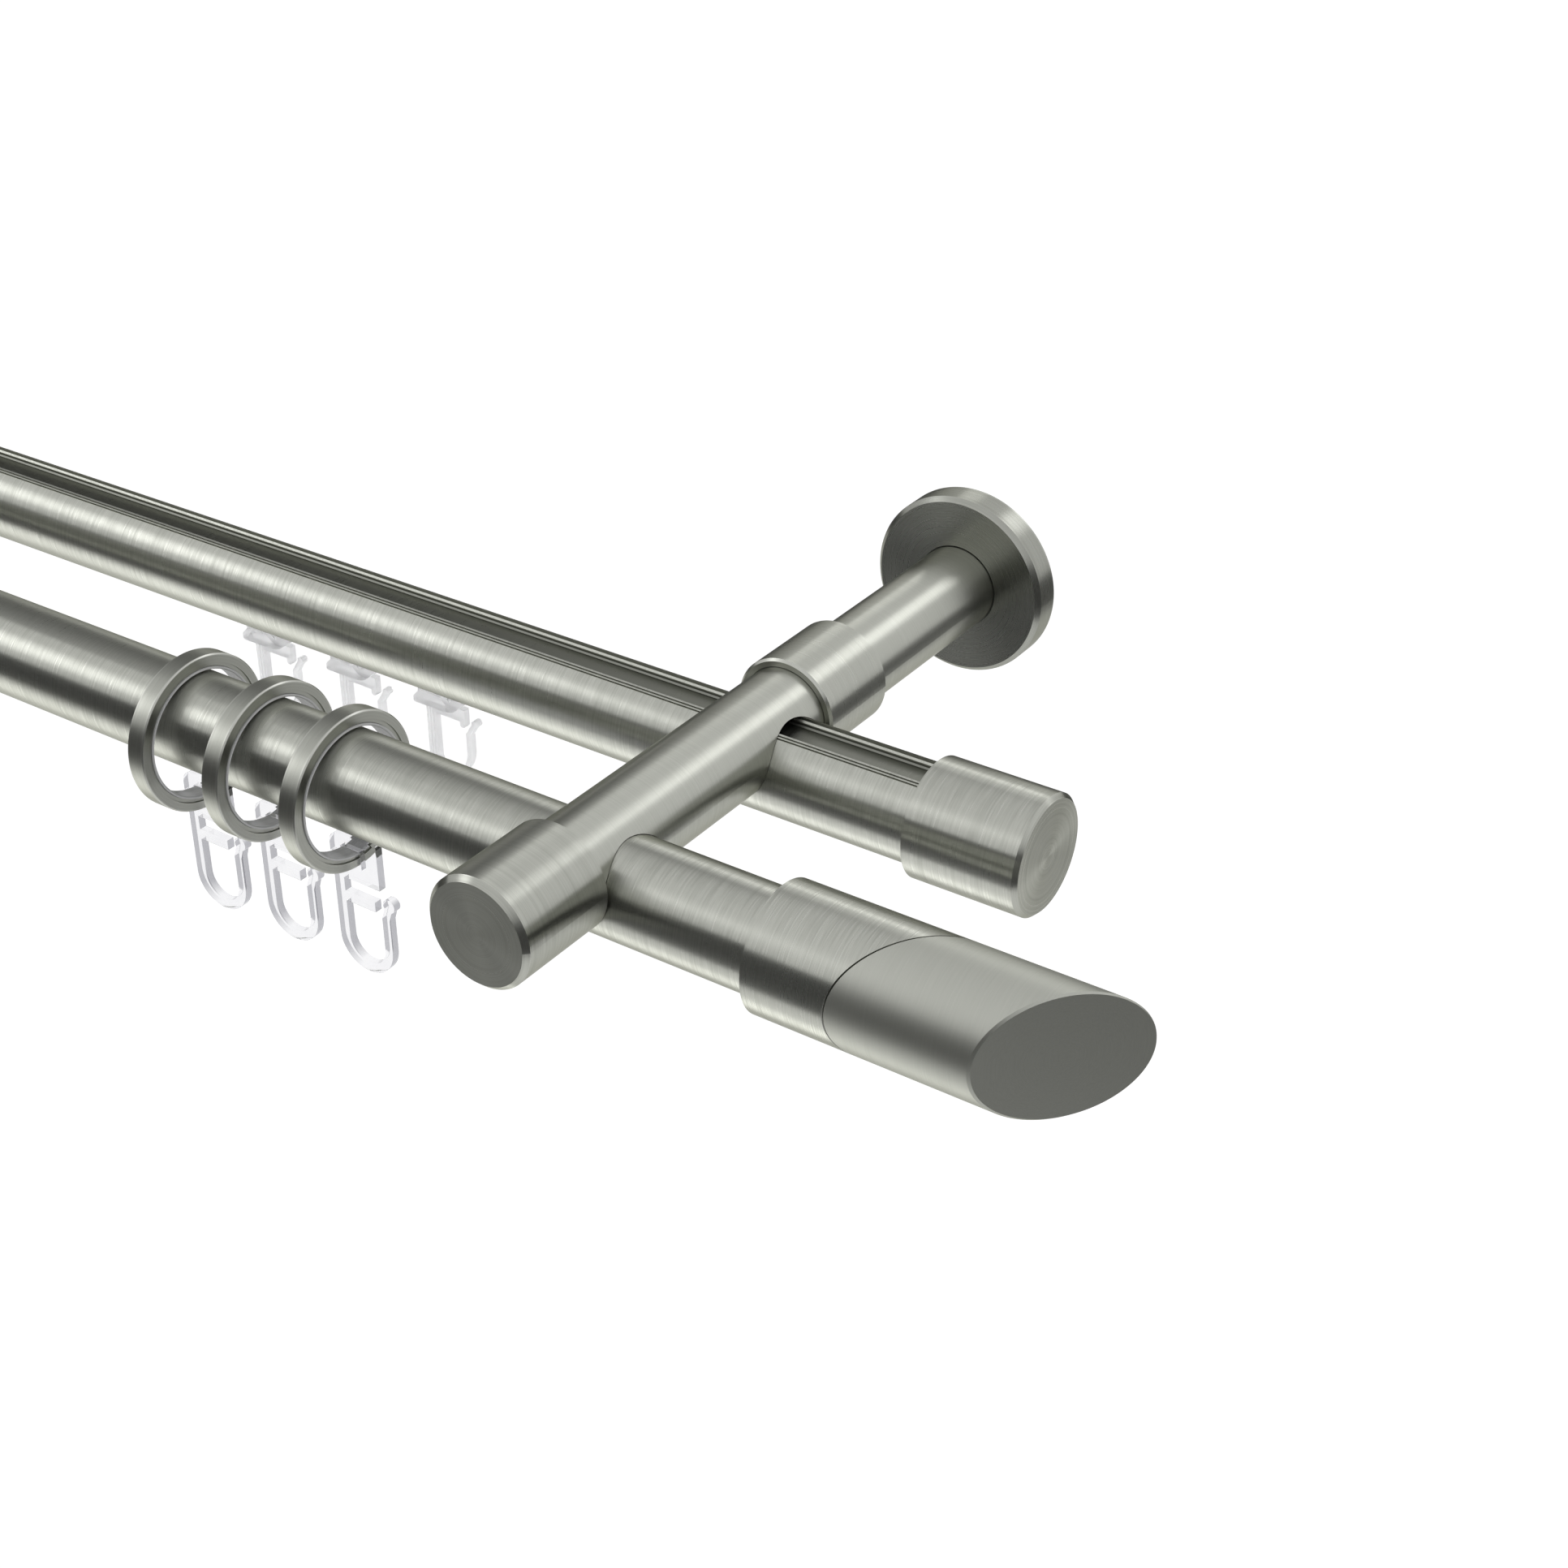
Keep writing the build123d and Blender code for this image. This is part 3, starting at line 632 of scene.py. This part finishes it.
def woven(felt, tint, thread):
    """Felt of a colour, with the darker threads of its weave."""
    weave = felt.noise(felt.place(), scale=300)
    felt.join(felt.mix(felt.between(weave, 0, 1, 0, 0.3), tint, thread), felt.shader.inputs["Base Color"])
    return felt.material


def dark_felt(studio):
    """Felt of the ring of cards, which turns paler towards the far right corner."""
    felt = Finish("card_black", 0.9)
    ways = felt.parts(felt.place())
    corner = felt.math("ADD", ways["X"], felt.math("MULTIPLY", ways["Y"], 2))
    tint = felt.mix(felt.between(corner, 1.5, 4, 0, 1), studio.card, studio.card_corner)
    return woven(felt, tint, (0.08, 0.08, 0.08))


def grey_felt(studio):
    """Felt of the card high on the left."""
    return woven(Finish("card_grey", 0.9), studio.card_above, (0.13, 0.13, 0.13))


def card_ring(studio):
    """Four cards round the rods, longer along them, with a slanted foot and top."""
    shape = bmesh.new()
    bmesh.ops.create_circle(
        shape, cap_ends=False, segments=4, radius=sqrt(2) * studio.card_distance,
        matrix=Matrix.Rotation(pi / 4, 4, "Z"))
    bmesh.ops.scale(shape, verts=shape.verts, vec=(RING_STRETCH, 1, 1))
    bmesh.ops.translate(shape, verts=shape.verts, vec=(RING_SHIFT, 0, -studio.card_bottom))
    for foot in shape.verts:
        foot.co.z += FOOT_TO_WALL * foot.co.y + FOOT_TO_RIGHT * max(foot.co.x, 0)
    for top in bmesh.ops.extrude_edge_only(shape, edges=shape.edges)["geom"]:
        if isinstance(top, bmesh.types.BMVert):
            lean = TOP_RIGHT_DROP + TOP_RIGHT * top.co.y if top.co.x > 0 else TOP_LEFT * top.co.y
            top.co.z = studio.card_top + lean
    return shape


def card_over_rods():
    """A small square card high on the left, facing the rods."""
    shape = bmesh.new()
    way = Vector(ABOVE_WAY).normalized()
    turn = way.to_track_quat("Z", "Y").to_matrix().to_4x4()
    bmesh.ops.create_grid(
        shape, x_segments=1, y_segments=1, size=ABOVE_WIDTH / 2,
        matrix=Matrix.Translation(way * ABOVE_DISTANCE) @ turn)
    return shape


def soft_lamp(name, direction, distance, size, level):
    """A soft box that faces the rods. Its level is the brightness of its face."""
    light = bpy.data.lights.new(name, "AREA")
    light.shape = "RECTANGLE"
    light.size, light.size_y = size
    light.energy = level * pi * size[0] * size[1]
    lamp = bpy.data.objects.new(name, light)
    lamp.location = LAMP_AIM + Vector(direction).normalized() * distance
    lamp.rotation_euler = (lamp.location - LAMP_AIM).to_track_quat("Z", "Y").to_euler()
    lamp.visible_camera = False
    lamp.visible_transmission = False
    bpy.context.scene.collection.objects.link(lamp)


class CURTAINROD_OT_stage(Operator):
    """Set the floor, the cards, the lamps, the background and the camera"""

    bl_idname = "curtain_rod.stage"
    bl_label = "Stage"

    def execute(self, context):
        scene = context.scene
        studio = scene.curtain_rod_studio

        low, high = cad_box
        under = Vector(((low[0] + high[0]) / 2, (low[1] + high[1]) / 2, -studio.floor_drop))
        shape = bmesh.new()
        bmesh.ops.create_circle(
            shape, cap_ends=True, segments=64, radius=FLOOR_RADIUS, matrix=Matrix.Translation(under))
        linked("floor", shape, floor_paint(studio))

        ring = linked("cards", card_ring(studio), dark_felt(studio))
        above = linked("card_above", card_over_rods(), grey_felt(studio))
        for card in (ring, above):
            card.visible_camera = False
            card.visible_diffuse = False
            card.visible_transmission = False
            card.visible_shadow = False

        for lamp in LAMPS:
            soft_lamp(*lamp)

        world = bpy.data.worlds.new("studio")
        world.use_nodes = True
        back = world.node_tree.nodes["Background"]
        back.inputs["Color"].default_value = (1, 1, 1, 1)
        strength = seen_directly(world.node_tree, lamp_side=0.8, seen_side=1)
        world.node_tree.links.new(strength, back.inputs["Strength"])
        scene.world = world
        scene.view_settings.view_transform = "Standard"

        camera = bpy.data.objects.new("camera", bpy.data.cameras.new("camera"))
        camera.data.lens = studio.lens
        camera.data.sensor_width = 36
        camera.data.clip_start = 0.01
        camera.location = studio.place
        camera.rotation_euler = Euler((pi / 2 - studio.view_rise, 0, studio.view_side))
        scene.collection.objects.link(camera)
        scene.camera = camera
        return {"FINISHED"}


STEPS = (
    CURTAINROD_OT_rods,
    CURTAINROD_OT_ends,
    CURTAINROD_OT_brackets,
    CURTAINROD_OT_rings,
    CURTAINROD_OT_hooks,
    CURTAINROD_OT_gliders,
    CURTAINROD_OT_stage,
)
GROUPS = (
    ("curtain_rod_steel", CurtainRodSteel),
    ("curtain_rod_plastic", CurtainRodPlastic),
    ("curtain_rod_studio", CurtainRodStudio),
)


class CURTAINROD_PT_sidebar(Panel):
    """Sizes, colours and steps of the curtain rod"""

    bl_label = "Curtain Rod"
    bl_space_type = "VIEW_3D"
    bl_region_type = "UI"
    bl_category = "Curtain Rod"

    def draw(self, context):
        for name, group in GROUPS:
            box = self.layout.box()
            for field in group.__annotations__:
                box.prop(getattr(context.scene, name), field)
        for step in STEPS:
            self.layout.operator(step.bl_idname)


def register():
    for name, group in GROUPS:
        bpy.utils.register_class(group)
        setattr(bpy.types.Scene, name, PointerProperty(type=group))
    for made in (*STEPS, CURTAINROD_PT_sidebar):
        bpy.utils.register_class(made)


def unregister():
    for made in (CURTAINROD_PT_sidebar, *reversed(STEPS)):
        bpy.utils.unregister_class(made)
    for name, group in reversed(GROUPS):
        delattr(bpy.types.Scene, name)
        bpy.utils.unregister_class(group)


def main():
    register()
    for step in STEPS:
        space, name = step.bl_idname.split(".")
        getattr(getattr(bpy.ops, space), name)()


if __name__ == "__main__":
    main()
